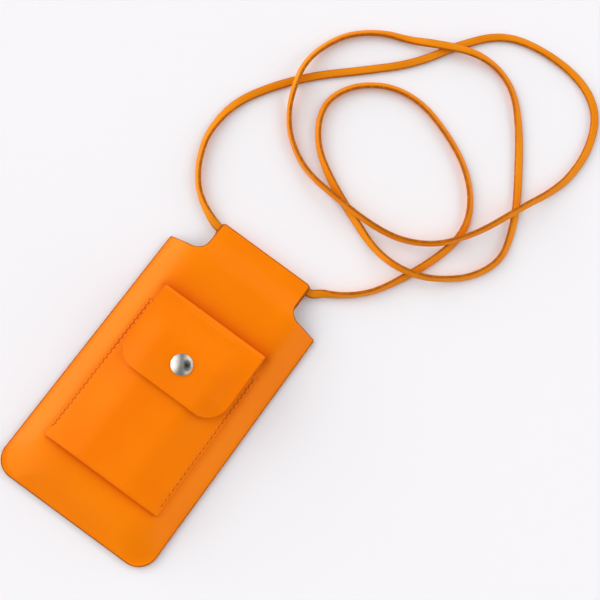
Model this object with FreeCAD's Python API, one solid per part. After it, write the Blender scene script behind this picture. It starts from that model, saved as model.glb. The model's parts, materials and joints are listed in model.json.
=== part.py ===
"""Leather phone pouch with a snapped card pocket and a neck lace.

Millimetres. X runs across the pouch, Y towards its neck and Z up from the back face, on which it lies.
The origin is the middle of the back face. Every piece is written to its own file in parts/.
"""

import FreeCAD, Part
import math
import os

# Outline, seen from the front
pouch_width = 104.0
pouch_length = 188.0
bottom_corner_radius = 12.0
neck_width = 64.0
neck_corner_radius = 3.0
notch_depth = 23.0
notch_corner_radius = 8.0
shoulder_fall = 1.5
shoulder_tip_radius = 1.5

# Sheets
panel_leather = 1.2
pocket_leather = 1.0
fold_leather = 1.0
lining_sheet = 0.4
bond_gap = 0.05

# Raised front and the space inside
cavity_height = 8.2
rim_width = 2.0
slope_width = 11.0
plateau_corner_radius = 4.0

# Lip that opens the mouth
lip_inset = 0.6
fold_above_notch = 2.5
running_gap = 0.3

# Lace and its tunnel
lace_width = 5.2
lace_thickness = 2.6
lace_clearance = 0.1
tunnel_tail = 6.0
exit_run = 6.5

# Pocket
pocket_width = 78.0
pocket_length = 106.4
pocket_from_bottom = 29.6
pocket_gap = 4.3
pocket_seam = 4.0
pocket_slope = 6.0
pocket_fold_radius = 3.0
mouth_below_fold = 11.5

# Flap
flap_width = 70.0
flap_length = 50.0
flap_corner_radius = 14.0
flap_fold_radius = 3.0
level_above_snap = 8.0

# Stitches
stitch_length = 2.4
stitch_pitch = 3.5
thread_radius = 0.35
stitch_inset = 2.0
stitch_start = 1.5

# Snap
snap_below_fold = 32.4
cap_radius = 6.3
cap_rise = 1.6
cap_edge = 0.4
tube_radius = 1.6
tube_wall = 0.35
clench_radius = 2.3
clench_sheet = 0.3
socket_radius = 5.2
socket_bore_radius = 3.4
socket_sheet = 0.4
socket_height = 2.2
spring_groove_depth = 0.6
spring_wire_radius = 0.3
spring_gap_angle = 50.0
stud_radius = 4.8
stud_flange = 0.5
stud_head_radius = 2.7
stud_neck_radius = 2.3
stud_head_height = 0.8
post_radius = 1.4
post_wall = 0.35
post_flange_radius = 4.2
post_flange = 0.4
rivet_clearance = 0.1

# One overrun serves every cut
cut_overrun = 3.0

# Reach of a lace arc along its shorter run, and a rounded end's radius in its half thickness
arc_share = 0.45
round_end_share = 0.95

# Free stretch of the lace, from the left exit round to the right one: points of its middle line
cord_route = [
    (-45.0, 93.5, 2.4),
    (-52.0, 98.6, 2.1),
    (-59.5, 106.0, 2.1),
    (-67.5, 118.0, 2.1),
    (-73.5, 134.0, 2.1),
    (-72.0, 158.0, 2.1),
    (-61.0, 181.0, 2.1),
    (-43.0, 203.0, 2.1),
    (-21.5, 224.0, 2.1),
    (2.0, 249.5, 2.1),
    (18.0, 279.0, 2.1),
    (36.0, 302.0, 2.1),
    (62.0, 309.5, 2.1),
    (92.0, 308.0, 2.1),
    (112.0, 296.0, 2.1),
    (121.0, 273.0, 2.1),
    (121.5, 249.0, 2.1),
    (115.5, 231.5, 2.4),
    (108.5, 217.0, 7.0),
    (101.5, 202.5, 7.0),
    (95.5, 190.5, 5.2),
    (89.5, 178.0, 7.0),
    (77.5, 160.5, 7.0),
    (59.5, 150.0, 2.4),
    (38.5, 145.5, 7.0),
    (12.0, 146.5, 7.0),
    (-12.0, 150.5, 2.1),
    (-31.0, 161.5, 2.1),
    (-42.5, 174.0, 2.3),
    (-48.5, 187.0, 7.0),
    (-52.5, 203.5, 7.0),
    (-50.5, 222.0, 2.1),
    (-42.0, 240.0, 2.1),
    (-26.0, 254.0, 2.1),
    (-10.5, 260.5, 2.4),
    (3.5, 267.0, 7.0),
    (25.0, 277.5, 7.0),
    (44.0, 281.0, 2.1),
    (62.0, 273.5, 2.1),
    (78.0, 256.0, 2.1),
    (92.0, 234.0, 2.1),
    (103.5, 213.5, 2.1),
    (110.5, 196.0, 2.1),
    (114.0, 177.0, 2.1),
    (106.5, 158.5, 2.1),
    (94.5, 146.5, 2.4),
    (82.0, 138.5, 7.0),
    (65.5, 134.5, 7.0),
    (48.0, 136.5, 2.1),
    (28.5, 143.8, 2.1),
    (6.0, 154.0, 2.1),
    (-13.0, 166.0, 2.1),
    (-25.5, 181.0, 2.1),
    (-29.0, 197.0, 2.1),
    (-20.5, 214.5, 2.1),
    (-2.5, 227.5, 2.1),
    (19.0, 230.5, 2.1),
    (42.0, 224.0, 2.1),
    (63.5, 214.0, 2.1),
    (79.0, 198.5, 2.1),
    (86.0, 180.0, 2.1),
    (82.5, 159.5, 2.1),
    (74.5, 136.5, 2.1),
    (65.5, 117.5, 2.1),
    (57.0, 105.8, 2.1),
    (50.5, 98.4, 2.1),
    (44.8, 93.5, 2.4),
]

# Places across and along
half_width = pouch_width / 2
neck_half = neck_width / 2
top_y = pouch_length / 2
bottom_y = -pouch_length / 2
notch_y = top_y - notch_depth
shoulder_y = notch_y - shoulder_fall
fold_y = notch_y + fold_above_notch
pocket_half = pocket_width / 2
pocket_bottom_y = bottom_y + pocket_from_bottom
pocket_fold_y = pocket_bottom_y + pocket_length
pocket_mouth_y = pocket_fold_y - mouth_below_fold
flap_bottom_y = pocket_fold_y - flap_length
snap_y = pocket_fold_y - snap_below_fold

# Heights
rim_high = 2 * panel_leather
cavity_low = panel_leather + lining_sheet
front_low = cavity_low + cavity_height + lining_sheet
front_high = front_low + panel_leather
leaf_high = front_high + pocket_leather
crown_low = leaf_high + pocket_gap
crown_high = crown_low + pocket_leather
socket_low = crown_high + stud_flange + running_gap
flap_lining_low = socket_low + socket_height
flap_low = flap_lining_low + lining_sheet
flap_high = flap_low + pocket_leather
tunnel_bore = lace_thickness + 2 * lace_clearance
tunnel_high = panel_leather + tunnel_bore + fold_leather
lip_facing_low = tunnel_high + running_gap
lip_low = lip_facing_low + lining_sheet

# Hinge of the flap: the middle of its rolled fold
hinge_y = pocket_fold_y - flap_fold_radius
hinge_z = leaf_high + running_gap + flap_fold_radius
fold_high = hinge_z + flap_fold_radius
level_y = snap_y + level_above_snap

# Tunnel
bore_top_y = top_y - fold_leather
bore_bottom_y = bore_top_y - lace_width - 2 * lace_clearance
tunnel_bottom_y = bore_bottom_y - fold_leather
lace_y = (bore_top_y + bore_bottom_y) / 2
lace_z = panel_leather + tunnel_bore / 2

# Sloping wall of the front panel
slope_angle = math.atan2(front_high - rim_high, slope_width)
plateau_inset = rim_width + slope_width
everything_high = flap_high + cap_rise


def vector(x, y, z):
    return FreeCAD.Vector(x, y, z)


def corner_arc(before, corner, after, radius):
    """Where a rounding of this radius starts, its middle, and where it ends."""
    back = (before - corner).normalize()
    ahead = (after - corner).normalize()
    half_angle = back.getAngle(ahead) / 2
    reach = radius / math.tan(half_angle)
    middle_way = (back + ahead).normalize()
    middle = corner + middle_way * (radius / math.sin(half_angle) - radius)
    return corner + back * reach, middle, corner + ahead * reach


def rounded_face(corners, radii):
    """Flat face whose corners are rounded by the radii, sharp where a radius is zero."""
    stops = []
    for index, corner in enumerate(corners):
        if radii[index] > 0:
            before = corners[index - 1]
            after = corners[(index + 1) % len(corners)]
            stops.append(corner_arc(before, corner, after, radii[index]))
        else:
            stops.append((corner, None, corner))
    edges = []
    for index, (start, middle, end) in enumerate(stops):
        if middle is not None:
            edges.append(Part.Arc(start, middle, end).toShape())
        following = stops[(index + 1) % len(stops)][0]
        edges.append(Part.LineSegment(end, following).toShape())
    return Part.Face(Part.Wire(edges))


def plan_prism(points, low, high):
    """Upright prism of an outline given as (x, y, corner radius)."""
    corners = [vector(x, y, low) for x, y, radius in points]
    return rounded_face(corners, [radius for x, y, radius in points]).extrude(vector(0, 0, high - low))


def side_prism(points, half):
    """Prism across the pouch of a profile given as (y, z, corner radius)."""
    corners = [vector(-half, y, z) for y, z, radius in points]
    return rounded_face(corners, [radius for y, z, radius in points]).extrude(vector(2 * half, 0, 0))


def front_prism(points, low_y, high_y):
    """Prism along the pouch of a section given as (x, z, corner radius)."""
    corners = [vector(x, low_y, z) for x, z, radius in points]
    return rounded_face(corners, [radius for x, z, radius in points]).extrude(vector(0, high_y - low_y, 0))


def block(half, low_y, high_y, low, high):
    return Part.makeBox(2 * half, high_y - low_y, high - low, vector(-half, low_y, low))


def turned(points):
    """Solid turned about the snap's axis from a section given as (radius, z)."""
    corners = [vector(radius, snap_y, z) for radius, z in points]
    face = Part.Face(Part.makePolygon(corners + corners[:1]))
    return face.revolve(vector(0, snap_y, 0), vector(0, 0, 1), 360)


def snap_hole(radius, low, high):
    return Part.makeCylinder(radius, high - low + 2 * cut_overrun, vector(0, snap_y, low - cut_overrun))


def pouch_plan(side_inset, low, high):
    """Prism of the pouch's whole outline, with its neck narrowed by side_inset."""
    half = neck_half - side_inset
    points = [
        (-half_width, bottom_y, bottom_corner_radius),
        (half_width, bottom_y, bottom_corner_radius),
        (half_width, shoulder_y, shoulder_tip_radius),
        (half, notch_y, notch_corner_radius),
        (half, top_y - side_inset, neck_corner_radius),
        (-half, top_y - side_inset, neck_corner_radius),
        (-half, notch_y, notch_corner_radius),
        (-half_width, shoulder_y, shoulder_tip_radius),
    ]
    return plan_prism(points, low, high)


def slope_inset(height, depth):
    """How far in from the outline the sloping wall is, at a height and a depth inside its outer face."""
    return rim_width + (height - rim_high) / math.tan(slope_angle) + depth / math.sin(slope_angle)


def raised_outline(inset, height):
    """Wire of the outline drawn in by inset, square beyond the mouth."""
    half = half_width - inset
    narrowing = (bottom_corner_radius - plateau_corner_radius) / plateau_inset
    radius = bottom_corner_radius - narrowing * inset
    low = bottom_y + inset
    high = top_y + cut_overrun
    corners = [
        vector(-half, low, height),
        vector(half, low, height),
        vector(half, high, height),
        vector(-half, high, height),
    ]
    return rounded_face(corners, [radius, radius, 0, 0]).OuterWire


def raised_solid(depth, low, high):
    """Space under the sloping wall, depth inside its outer face, between two heights."""
    wires = [raised_outline(slope_inset(height, depth), height) for height in (low, high)]
    return Part.makeLoft(wires, True, True)


def below_fold(shape):
    """The part of a shape on the pouch's side of the lip's fold."""
    edge_y = fold_y - running_gap / 2
    keep = block(pouch_width, bottom_y - cut_overrun, edge_y, -cut_overrun, everything_high + cut_overrun)
    return shape.common(keep)


def front_panel():
    rim = pouch_plan(0, panel_leather, rim_high)
    dome = raised_solid(0, panel_leather, front_high)
    hollow = raised_solid(panel_leather, panel_leather - cut_overrun, front_low)
    whole = rim.fuse(dome).cut(hollow)
    plan = pouch_plan(0, -cut_overrun, everything_high)
    return below_fold(whole.common(plan)).removeSplitter()


def front_lining():
    outer_depth = panel_leather + bond_gap
    outer = raised_solid(outer_depth, cavity_low, front_low - bond_gap)
    inner_depth = outer_depth + lining_sheet
    inner = raised_solid(inner_depth, cavity_low - cut_overrun, front_low - bond_gap - lining_sheet)
    plan = pouch_plan(0, -cut_overrun, everything_high)
    return below_fold(outer.cut(inner).common(plan)).removeSplitter()


def back_lining():
    inset = slope_inset(cavity_low, panel_leather + bond_gap)
    sheet = Part.Face(raised_outline(inset, panel_leather)).extrude(vector(0, 0, lining_sheet))
    return below_fold(sheet.common(pouch_plan(0, 0, everything_high)))


def back_panel():
    """Back leather, with the neck's top folded forward and its tail bonded down behind the lace."""
    fold_radius = tunnel_high / 2
    sheet = pouch_plan(0, 0, panel_leather).common(
        block(pouch_width, bottom_y - cut_overrun, top_y - fold_radius, 0, panel_leather)
    )
    outer = [
        (tunnel_bottom_y - tunnel_tail, 0, 0),
        (top_y, 0, fold_radius * round_end_share),
        (top_y, tunnel_high, fold_radius * round_end_share),
        (tunnel_bottom_y, tunnel_high, fold_leather),
        (tunnel_bottom_y, panel_leather + fold_leather, 0),
        (tunnel_bottom_y - tunnel_tail, panel_leather + fold_leather, 0),
    ]
    bore_radius = tunnel_bore / 2 * round_end_share
    bore = [
        (bore_bottom_y, panel_leather, 0),
        (bore_top_y, panel_leather, bore_radius),
        (bore_top_y, panel_leather + tunnel_bore, bore_radius),
        (bore_bottom_y, panel_leather + tunnel_bore, 0),
    ]
    tunnel = side_prism(outer, neck_half).cut(side_prism(bore, neck_half + cut_overrun))
    tunnel = tunnel.common(pouch_plan(0, -cut_overrun, everything_high))
    return sheet.fuse(tunnel).removeSplitter()


def lip_layer(low_at_fold, low_at_top, sheet):
    """One layer of the lip: it slopes from the fold down to the tunnel, then lies over it."""
    start_y = fold_y + running_gap / 2
    profile = [
        (start_y, low_at_fold, 0),
        (tunnel_bottom_y, low_at_top, 0),
        (top_y, low_at_top, 0),
        (top_y, low_at_top + sheet, 0),
        (tunnel_bottom_y, low_at_top + sheet, 0),
        (start_y, low_at_fold + sheet, 0),
    ]
    strip = side_prism(profile, half_width)
    plan = pouch_plan(lip_inset, -cut_overrun, everything_high)
    return strip.common(plan)


def front_lip_leather():
    return lip_layer(front_low, lip_low, panel_leather)


def front_lip_facing():
    return lip_layer(front_low - lining_sheet, lip_facing_low, lining_sheet)


def tunnel_stitches():
    """Row of thread along the tunnel's tail, across the neck."""
    row_y = tunnel_bottom_y - tunnel_tail / 2
    height = panel_leather + fold_leather
    span = neck_width - 2 * lip_inset - 2 * stitch_length
    count = int(span / stitch_pitch)
    first = -(count - 1) * stitch_pitch / 2
    bars = []
    for index in range(count):
        middle = first + index * stitch_pitch
        start = vector(middle - stitch_length / 2, row_y, height)
        bars.append(thread_bar(start, vector(stitch_length, 0, 0)))
    return Part.makeCompound(bars)


def thread_bar(start, along):
    """Half-round thread lying on a level surface from start."""
    across = vector(0, 0, 1).cross(along).normalize() * thread_radius
    crown = start + vector(0, 0, thread_radius)
    arc = Part.Arc(start - across, crown, start + across).toShape()
    base = Part.LineSegment(start + across, start - across).toShape()
    return Part.Face(Part.Wire([arc, base])).extrude(along)


def cord_in_tunnel():
    half_flat = lace_width / 2
    half_thick = lace_thickness / 2
    radius = half_thick * round_end_share
    section = [
        (lace_y - half_flat, lace_z - half_thick, radius),
        (lace_y + half_flat, lace_z - half_thick, radius),
        (lace_y + half_flat, lace_z + half_thick, radius),
        (lace_y - half_flat, lace_z + half_thick, radius),
    ]
    return side_prism(section, neck_half)


def cord_radius():
    """Radius of a round tube with the flat lace's sectional area."""
    end_radius = lace_thickness / 2
    area = (lace_width - lace_thickness) * lace_thickness + math.pi * end_radius**2
    return math.sqrt(area / math.pi)


def neck_cord():
    """Free lace as a round tube along straight runs joined by tangent arcs."""
    left = [vector(-neck_half, lace_y, lace_z), vector(-neck_half - exit_run, lace_y, lace_z)]
    right = [vector(neck_half + exit_run, lace_y, lace_z), vector(neck_half, lace_y, lace_z)]
    points = left + [vector(*point) for point in cord_route] + right
    edges = []
    radii = []
    here = points[0]
    for before, corner, after in zip(points, points[1:], points[2:]):
        back = before - corner
        ahead = after - corner
        half_turn = (math.pi - back.getAngle(ahead)) / 2
        shorter_run = min(back.Length, ahead.Length)
        radius = arc_share * shorter_run / math.tan(half_turn)
        start, middle, end = corner_arc(before, corner, after, radius)
        edges.append(Part.LineSegment(here, start).toShape())
        edges.append(Part.Arc(start, middle, end).toShape())
        radii.append(round(radius, 1))
        here = end
    edges.append(Part.LineSegment(here, points[-1]).toShape())
    path = Part.Wire(edges)
    profile = Part.Wire([Part.makeCircle(cord_radius(), points[0], points[1] - points[0])])
    tube = path.makePipeShell([profile], True, False)
    print("cord radii", radii)
    print("cord length", round(path.Length, 1), "tightest", min(radii))
    section = math.pi * cord_radius() ** 2
    print("cord volume", round(tube.Volume, 1), "section by length", round(section * path.Length, 1))
    return tube


def pocket_back_leaf():
    return block(pocket_half, pocket_bottom_y, hinge_y, front_high, leaf_high)


def pocket_section(rise, inset):
    """Section of the pocket front's outer face, or of its hollow when inset."""
    seam_half = pocket_half - pocket_seam - inset
    crown_half = seam_half - pocket_slope
    return [
        (-seam_half, leaf_high, 0),
        (seam_half, leaf_high, 0),
        (crown_half, rise, 0),
        (-crown_half, rise, 0),
    ]


def pocket_fold(low_y, high_y, high, radius):
    """Prism along the pocket that is rounded where its strip folds up at the bottom."""
    profile = [
        (low_y, leaf_high, 0),
        (high_y, leaf_high, 0),
        (high_y, high, 0),
        (low_y, high, radius),
    ]
    return side_prism(profile, pocket_half)


def pocket_front():
    """Crowned pocket front: sewn flat at its sides, folded round at its bottom, open at its mouth."""
    seam = block(pocket_half, pocket_bottom_y, pocket_mouth_y, leaf_high, leaf_high + pocket_leather)
    crown = front_prism(pocket_section(crown_high, 0), pocket_bottom_y, pocket_mouth_y)
    outer_fold = pocket_fold(pocket_bottom_y, pocket_mouth_y, crown_high, pocket_fold_radius)
    inside_y = pocket_bottom_y + pocket_leather
    beyond_y = pocket_mouth_y + cut_overrun
    hollow = front_prism(pocket_section(crown_low, pocket_leather), inside_y, beyond_y)
    inner_fold = pocket_fold(inside_y, beyond_y, crown_low, pocket_fold_radius - pocket_leather)
    whole = seam.fuse(crown).common(outer_fold).cut(hollow.common(inner_fold))
    hole = snap_hole(post_radius + rivet_clearance, crown_low, crown_high)
    return whole.cut(hole).removeSplitter()


def pocket_stitches(side):
    """Row of thread down one side of the pocket."""
    row_x = side * (pocket_half - stitch_inset)
    height = leaf_high + pocket_leather
    span = pocket_mouth_y - pocket_bottom_y - pocket_fold_radius - stitch_start
    count = int(span / stitch_pitch)
    bars = []
    for index in range(count):
        end_y = pocket_mouth_y - stitch_start - index * stitch_pitch
        bars.append(thread_bar(vector(row_x, end_y - stitch_length, height), vector(0, stitch_length, 0)))
    return Part.makeCompound(bars)


def flap_layer(low, sheet):
    """One layer of the flap: level round the snap, and falling from there to its fold."""
    half = flap_width / 2
    low_at_fold = low - flap_high + fold_high
    profile = [
        (flap_bottom_y, low, 0),
        (level_y, low, 0),
        (hinge_y, low_at_fold, 0),
        (hinge_y, low_at_fold + sheet, 0),
        (level_y, low + sheet, 0),
        (flap_bottom_y, low + sheet, 0),
    ]
    points = [
        (-half, flap_bottom_y, flap_corner_radius),
        (half, flap_bottom_y, flap_corner_radius),
        (half, hinge_y, 0),
        (-half, hinge_y, 0),
    ]
    plan = plan_prism(points, -cut_overrun, everything_high)
    hole = snap_hole(tube_radius + rivet_clearance, low, low + sheet)
    return side_prism(profile, half).common(plan).cut(hole)


def flap_leather():
    """Flap with its rolled fold, which turns about the hinge."""
    half = flap_width / 2
    start = vector(-half, hinge_y, hinge_z)
    across = vector(1, 0, 0)
    roll = Part.makeCylinder(flap_fold_radius, flap_width, start, across)
    core = Part.makeCylinder(flap_fold_radius - pocket_leather, flap_width, start, across)
    beyond_hinge = block(half, hinge_y, pocket_fold_y, hinge_z - flap_fold_radius, fold_high)
    nose = roll.cut(core).common(beyond_hinge)
    return flap_layer(flap_low, pocket_leather).fuse(nose).removeSplitter()


def flap_lining():
    return flap_layer(flap_lining_low, lining_sheet)


def snap_cap():
    """Domed cap with its rivet tube, clenched inside the socket."""
    plate_low = flap_lining_low - socket_sheet
    clench_low = plate_low - clench_sheet
    tube = turned([
        (tube_radius - tube_wall, clench_low),
        (clench_radius, clench_low),
        (clench_radius, plate_low),
        (tube_radius, plate_low),
        (tube_radius, flap_high),
        (tube_radius - tube_wall, flap_high),
    ])
    dome_radius = (cap_radius**2 + (cap_rise - cap_edge) ** 2) / (2 * (cap_rise - cap_edge))
    dome_middle = vector(0, snap_y, flap_high + cap_rise - dome_radius)
    disc = Part.makeCylinder(cap_radius, cap_rise, vector(0, snap_y, flap_high))
    return disc.common(Part.makeSphere(dome_radius, dome_middle)).fuse(tube).removeSplitter()


def snap_socket():
    """Turned socket: a plate against the flap and a skirt with a groove for the spring."""
    plate_low = flap_lining_low - socket_sheet
    groove_low = socket_low + socket_sheet / 2
    groove_high = groove_low + 2 * (spring_wire_radius + rivet_clearance)
    return turned([
        (tube_radius + rivet_clearance, flap_lining_low),
        (socket_radius, flap_lining_low),
        (socket_radius, socket_low),
        (socket_bore_radius, socket_low),
        (socket_bore_radius, groove_low),
        (socket_bore_radius + spring_groove_depth, groove_low),
        (socket_bore_radius + spring_groove_depth, groove_high),
        (socket_bore_radius, groove_high),
        (socket_bore_radius, plate_low),
        (tube_radius + rivet_clearance, plate_low),
    ])


def snap_spring():
    """Split ring of wire in the socket's groove."""
    ring_radius = socket_bore_radius + spring_groove_depth - spring_wire_radius - rivet_clearance
    height = socket_low + socket_sheet / 2 + spring_wire_radius + rivet_clearance
    middle = vector(0, snap_y, height)
    ring_angle = 360 - spring_gap_angle
    return Part.makeTorus(ring_radius, spring_wire_radius, middle, vector(0, 0, 1), 0, 360, ring_angle)


def snap_stud():
    """Stud on the pocket front: a flange, a neck and a rounded head, bored for its post."""
    flange_high = crown_high + stud_flange
    head_high = flap_lining_low - socket_sheet - clench_sheet - running_gap
    bore = post_radius + rivet_clearance
    return turned([
        (bore, crown_high),
        (stud_radius, crown_high),
        (stud_radius, flange_high),
        (stud_neck_radius, flange_high),
        (stud_neck_radius, head_high - stud_head_height),
        (stud_head_radius, head_high - stud_head_height / 2),
        (stud_neck_radius, head_high),
        (bore, head_high),
    ])


def snap_stud_post():
    """Eyelet that holds the stud, from inside the pocket."""
    flange_low = crown_low - post_flange
    top = crown_high + stud_flange
    return turned([
        (post_radius - post_wall, flange_low),
        (post_flange_radius, flange_low),
        (post_flange_radius, crown_low),
        (post_radius, crown_low),
        (post_radius, top),
        (post_radius - post_wall, top),
    ])


pieces = {
    "back_panel": back_panel(),
    "back_lining": back_lining(),
    "front_panel": front_panel(),
    "front_lining": front_lining(),
    "front_lip_leather": front_lip_leather(),
    "front_lip_facing": front_lip_facing(),
    "tunnel_stitches": tunnel_stitches(),
    "cord_in_tunnel": cord_in_tunnel(),
    "neck_cord": neck_cord(),
    "pocket_back_leaf": pocket_back_leaf(),
    "pocket_front": pocket_front(),
    "pocket_stitches_left": pocket_stitches(-1),
    "pocket_stitches_right": pocket_stitches(1),
    "flap_leather": flap_leather(),
    "flap_lining": flap_lining(),
    "snap_cap": snap_cap(),
    "snap_socket": snap_socket(),
    "snap_spring": snap_spring(),
    "snap_stud": snap_stud(),
    "snap_stud_post": snap_stud_post(),
}

os.makedirs("parts", exist_ok=True)
for name, shape in pieces.items():
    shape.exportStep("parts/" + name + ".step")
    print(name, "valid" if shape.isValid() else "NOT VALID", len(shape.Solids), round(shape.Volume, 1))
print("flap hinge", hinge_y, hinge_z, "lip fold", fold_y, front_high)
print("snap", snap_y, "cavity", cavity_low, front_low - lining_sheet, "pocket", leaf_high, crown_low)
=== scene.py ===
"""Looks of the leather phone pouch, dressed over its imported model.

Metres, in the model's own frame: X across the pouch, Y towards its neck, Z up from the floor it lies on.
"""

import json
import math

import bpy
from mathutils import Matrix, Vector, geometry, kdtree, noise


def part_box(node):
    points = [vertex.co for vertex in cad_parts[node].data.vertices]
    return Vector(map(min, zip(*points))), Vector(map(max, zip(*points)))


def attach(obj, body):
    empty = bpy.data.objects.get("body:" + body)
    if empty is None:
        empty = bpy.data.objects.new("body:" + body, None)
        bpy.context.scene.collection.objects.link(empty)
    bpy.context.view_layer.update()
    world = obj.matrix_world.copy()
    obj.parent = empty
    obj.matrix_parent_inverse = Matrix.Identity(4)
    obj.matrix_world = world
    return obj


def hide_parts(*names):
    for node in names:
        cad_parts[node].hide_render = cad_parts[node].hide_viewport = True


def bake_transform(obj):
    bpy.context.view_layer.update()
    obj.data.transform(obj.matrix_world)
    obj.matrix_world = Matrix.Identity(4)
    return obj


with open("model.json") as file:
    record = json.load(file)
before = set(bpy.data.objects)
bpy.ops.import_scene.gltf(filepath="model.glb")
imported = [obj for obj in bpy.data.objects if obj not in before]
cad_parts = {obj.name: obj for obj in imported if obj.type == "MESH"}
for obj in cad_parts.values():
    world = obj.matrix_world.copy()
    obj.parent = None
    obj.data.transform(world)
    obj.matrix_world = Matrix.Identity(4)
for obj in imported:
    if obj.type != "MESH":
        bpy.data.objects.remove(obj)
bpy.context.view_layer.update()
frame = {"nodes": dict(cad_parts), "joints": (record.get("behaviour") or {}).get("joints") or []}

upward = Vector((0.0, 0.0, 1.0))

# Camera, fitted to the straight edges of the photograph
camera_place = Vector((0.0391, -0.0658, 0.6301))
camera_ahead = Vector((-0.0123, 0.2319, -0.9727))
camera_up = Vector((-0.5911, 0.7829, 0.1942))
camera_lens = 66.0
camera_sensor = 36.0

# Floor
floor_half = 12.0
floor_drop = 0.0002

# Light of the room. A spread is where a light starts and is full, as cosines of the angle to its way.
room_light = 0.25
horizon_light = 0.93
horizon_spread = (0.15, 0.05)
dim_share = 0.88
dim_spread = (0.935, 0.985)
dim_ways = (Vector((0.20, 0.40, 0.90)), Vector((0.36, 0.19, 0.91)))

# Lamps: the way in which each lies, its spread and its strength
key_lamp = (Vector((-0.86, -0.33, 0.39)), (0.40, 0.96), 1.62)
fill_lamp = (Vector((0.70, 0.60, 0.38)), (0.35, 0.92), 1.56)
low_lamp = (Vector((-0.96, 0.00, 0.24)), (0.84, 0.99), 2.35)

# Places read from the frame
back_low, back_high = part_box("back_panel")
front_low, front_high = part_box("front_panel")
lip_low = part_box("front_lip_leather")[0]
lining_low, lining_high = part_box("back_lining")
bore_low, bore_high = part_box("cord_in_tunnel")
leaf_low, leaf_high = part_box("pocket_back_leaf")
pocket_low, pocket_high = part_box("pocket_front")
flap_low, flap_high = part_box("flap_leather")
cap_low, cap_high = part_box("snap_cap")
socket_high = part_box("snap_socket")[1]
tunnel_thread_low, tunnel_thread_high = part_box("tunnel_stitches")
side_thread_low, side_thread_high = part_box("pocket_stitches_right")
hinges = {joint["name"]: Vector(joint["pos_m"]) for joint in frame["joints"]}
flap_hinge = hinges["flap_fold"]
lip_hinge = hinges["lip_fold"]

half_width = back_high.x
bottom_y = back_low.y
top_y = back_high.y
neck_half = bore_high.x
panel_leather = front_low.z
lining_sheet = lining_high.z - lining_low.z
pocket_leather = leaf_high.z - leaf_low.z
tunnel_high = back_high.z
lace_y = (bore_low.y + bore_high.y) / 2
lace_z = (bore_low.z + bore_high.z) / 2
snap_y = (cap_low.y + cap_high.y) / 2

# Outline of the pouch
bottom_corner = 0.012
notch_depth = 0.023
notch_corner = 0.008
shoulder_fall = 0.0015
shoulder_tip = 0.0015
neck_corner = 0.002
lip_inset = 0.0006
notch_y = top_y - notch_depth

# Raised front
rim_width = 0.0006
swell_width = 0.0255
swell_foot_share = 0.06
swell_straight_share = 0.32
slope_corner = 0.0155
rim_high = 2 * panel_leather
lip_over_tunnel = lip_low.z + panel_leather
lip_fall_before = 0.006
lip_fall_start = lip_hinge.y - lip_fall_before
tunnel_foot_gap = 0.0011
tunnel_foot_y = bore_low.y - tunnel_foot_gap
# Painted shade: the dye darkens beside the pocket's fold and the flap's fold, standing in for their shade.
# How far it reaches, and how strong it is
pocket_fold_shade_reach = 0.0013
flap_fold_shade_reach = 0.0060
painted_shade_share = 0.9
ripple_depth = 0.00012
ripple_length = 0.030

# Tunnel of the lace
tunnel_tail_sheet = 0.001
tunnel_step = 0.0016
tunnel_step_rows = 6
tail_past_stitches = 0.0026
tunnel_tail_y = tunnel_thread_low.y - tail_past_stitches

# Linings
lining_inset = 0.0065
lining_neck_inset = 0.0016
bond_gap = 0.00005

# Pocket and its seams
stitch_x = (side_thread_low.x + side_thread_high.x) / 2
seam_half = 0.0362
seam_slope = 0.0230
groove_depth = 0.00018
groove_width = 0.0007
fold_fullness_share = 0.64
fullness_run = 0.055
fold_sheet_share = 0.84
fold_round_share = 0.03
pocket_fold_rows = 14
leaf_below_mouth = 0.0015
leaf_end_y = pocket_high.y - leaf_below_mouth
leaf_inset = 0.0007
leaf_half = leaf_high.x - leaf_inset

# Flap and its fold
flap_corner = 0.014
flap_droop = 0.0028
flap_side_droop = 0.0034
side_droop_start_share = 0.50
side_droop_run = 0.022
droop_below_snap = 0.004
droop_start_y = snap_y - droop_below_snap
level_above_snap = 0.006
level_y = snap_y + level_above_snap
fold_radius = flap_high.y - flap_hinge.y
fold_spread_share = 0.625
fold_rows = 28
strip_narrow_run = 0.0035
flap_over_pocket = 0.0002
flap_rest_softness = 0.0006
cap_sink = 0.00025
cap_press_reach = 0.011
lining_from_flap_edge = 0.0012

# Sheets are drawn with cells of about this side, and their cut edges are rounded a little
cell = 0.0012
seam_cell = cell / 3
least_arc_steps = 3
edge_round_share = 0.16
edge_round_segments = 2
edge_round_angle = math.radians(55)
sharp_angle = math.radians(42)

# Stitches
stitch_half = 0.00125
stitch_pitch = 0.0035
thread_radius = 0.00042
thread_end_share = 0.02
thread_rise_share = 0.55
thread_dive_share = 1.3
thread_lobes = 3
thread_lobe_share = 0.10
thread_twist = 5.0
thread_rings = 9
thread_sides = 12
hole_radius = 0.00060
hole_lift = 0.00003

# Lace, with a quarter of its section as shares of its half width and half thickness
lace_width = 0.0052
lace_half_thick = 0.0013
lace_core_half = lace_width / 2 - lace_half_thick
lace_section_shares = [
    (0.0, 1.0),
    (0.231, 1.0),
    (0.442, 0.985),
    (0.615, 0.908),
    (0.769, 0.754),
    (0.885, 0.538),
    (0.969, 0.277),
    (1.0, 0.0),
]
lace_spline_order = 3
lace_spline_steps = 14
tunnel_lace_steps = 6
exit_run = 0.0025
left_exit_turn = 8
right_exit_turn = 6

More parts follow.
